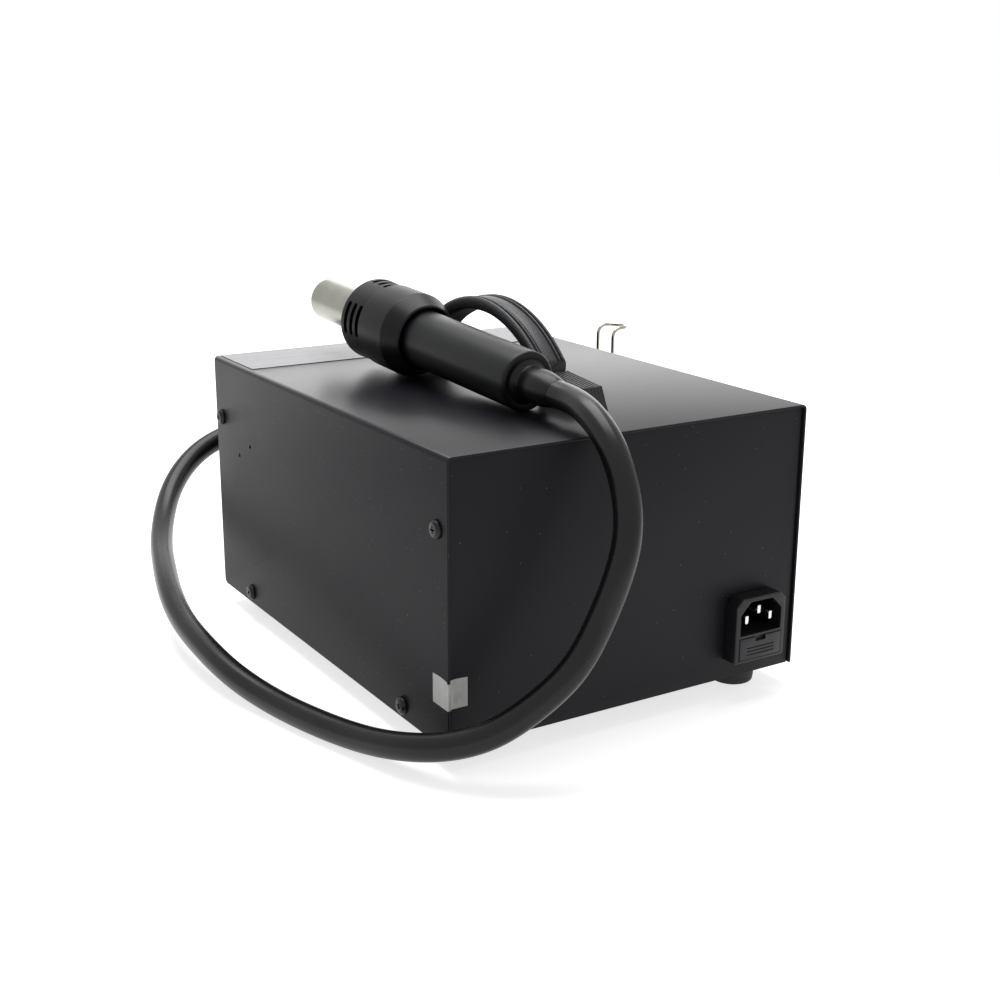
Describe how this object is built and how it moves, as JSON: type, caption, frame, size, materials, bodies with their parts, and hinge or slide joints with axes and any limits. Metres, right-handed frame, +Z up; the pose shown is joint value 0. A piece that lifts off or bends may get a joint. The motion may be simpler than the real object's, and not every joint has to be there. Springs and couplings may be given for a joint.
{
  "type": "hot air rework station",
  "caption": "Bench-top hot air rework station: black folded steel case with strap handle, handpiece resting on top, air hose to the front, wire hook on one side and mains inlet at the rear.",
  "frame": {"origin": "on the desk surface, under the middle of the case", "axes": "+Z up; the front panel faces -Y and the mains inlet +Y; +X is the unit's right-hand side seen from its front"},
  "size_m": [0.2915, 0.3763, 0.1785],
  "materials": {
    "black_coat": "satin powder coat",
    "black_steel": "blackened steel",
    "zinc_steel": "zinc plated",
    "foot_rubber": "dull",
    "handle_plastic": "soft grained",
    "strip_steel": "rolled",
    "label_film": "printed film",
    "seal_paper": "silvery paper",
    "wire_steel": "bright plated wire",
    "inlet_plastic": "moulded",
    "pin_metal": "nickel plated",
    "fuse_glass": "clear",
    "key_plastic": "moulded",
    "lamp_plastic": "clear red",
    "control_plastic": "moulded",
    "shaft_aluminium": "turned",
    "hose_rubber": "satin",
    "pump_aluminium": "cast",
    "core_steel": "laminated",
    "coil_wire": "enamelled wire",
    "box_plastic": "moulded",
    "tube_rubber": "silicone",
    "board_laminate": "lacquered",
    "standoff_brass": "turned",
    "tape_plastic": "wrapped",
    "capacitor_plastic": "sleeved",
    "wire_plastic": "sleeved",
    "barrel_steel": "stainless",
    "grip_plastic": "satin moulded",
    "former_ceramic": "fired",
    "mica": "sheet"
  },
  "bodies": {
    "station": {"top_cover": "black_coat", "base_tray": "black_coat", "front_panel": "black_coat", "rear_panel": "black_coat", "cover_screws": "black_steel", "panel_screws": "zinc_steel", "rubber_feet": "foot_rubber", "foot_screws": "zinc_steel", "handle_strap": "handle_plastic", "handle_strip": "strip_steel", "handle_end_caps": "handle_plastic", "handle_bolts": "zinc_steel", "handle_nuts": "zinc_steel", "top_label": "label_film", "corner_seal": "seal_paper", "handpiece_hook": "wire_steel", "inlet_housing": "inlet_plastic", "inlet_pins": "pin_metal", "switch_body": "inlet_plastic", "pilot_lamp": "lamp_plastic", "air_control": "control_plastic", "heat_control": "control_plastic", "control_nuts": "zinc_steel", "hose_outlet": "inlet_plastic", "outlet_nut": "zinc_steel", "air_hose": "hose_rubber", "pump_base": "pump_aluminium", "pump_mounts": "foot_rubber", "pump_core": "core_steel", "pump_coil": "coil_wire", "pump_pivots": "zinc_steel", "left_diaphragm": "hose_rubber", "right_diaphragm": "hose_rubber", "valve_boxes": "box_plastic", "air_tubes": "tube_rubber", "circuit_board": "board_laminate", "board_standoffs": "standoff_brass", "board_screws": "zinc_steel", "control_transformer": "tape_plastic", "heatsink": "pump_aluminium", "board_parts": "capacitor_plastic", "wiring": "wire_plastic"},
    "rocker": {"rocker_key": "key_plastic"},
    "air_knob_set": {"air_knob": "key_plastic", "air_shaft": "shaft_aluminium"},
    "heat_knob_set": {"heat_knob": "key_plastic", "heat_shaft": "shaft_aluminium"},
    "drawer": {"fuse_drawer": "inlet_plastic", "fuses": "fuse_glass"},
    "left_arm": {"left_pump_arm": "strip_steel"},
    "right_arm": {"right_pump_arm": "strip_steel"},
    "handpiece": {"barrel": "barrel_steel", "vent_cap": "grip_plastic", "shroud": "grip_plastic", "grip": "grip_plastic", "handpiece_screws": "zinc_steel", "hose_bush": "hose_rubber", "heater_core": "former_ceramic", "heater_coil": "strip_steel", "mica_sleeve": "mica"}
  },
  "joints": [
    {"name": "rocker_tilt", "type": "hinge", "parent": "station", "child": "rocker", "pos_m": [0.062, -0.1179, 0.04], "axis": [1, 0, 0], "range_deg": [-20, 0]},
    {"name": "air_knob_turn", "type": "hinge", "parent": "station", "child": "air_knob_set", "pos_m": [-0.052, -0.1213, 0.05], "axis": [0, 1, 0], "range_deg": [0, 270]},
    {"name": "heat_knob_turn", "type": "hinge", "parent": "station", "child": "heat_knob_set", "pos_m": [-0.052, -0.1213, 0.098], "axis": [0, 1, 0], "range_deg": [0, 270]},
    {"name": "fuse_drawer_slide", "type": "slide", "parent": "station", "child": "drawer", "axis": [0, 1, 0], "range_m": [0, 0.02]},
    {"name": "left_arm_swing", "type": "hinge", "parent": "station", "child": "left_arm", "pos_m": [-0.0515, 0.024, 0.0402], "axis": [0, 0, 1], "range_deg": [-1.2, 1.2], "stiffness_Nm_per_rad": 2, "deforming": ["left_diaphragm"]},
    {"name": "right_arm_swing", "type": "hinge", "parent": "station", "child": "right_arm", "pos_m": [-0.0045, 0.024, 0.0402], "axis": [0, 0, 1], "range_deg": [-1.2, 1.2], "stiffness_Nm_per_rad": 2, "deforming": ["right_diaphragm"]},
    {"name": "handpiece_lift", "type": "slide", "parent": "station", "child": "handpiece", "axis": [0, 0, 1], "range_m": [0, 0.025], "deforming": ["air_hose"]}
  ],
  "couplings": [
    {"joint": "left_arm_swing", "follows": "right_arm_swing", "ratio": -1}
  ]
}
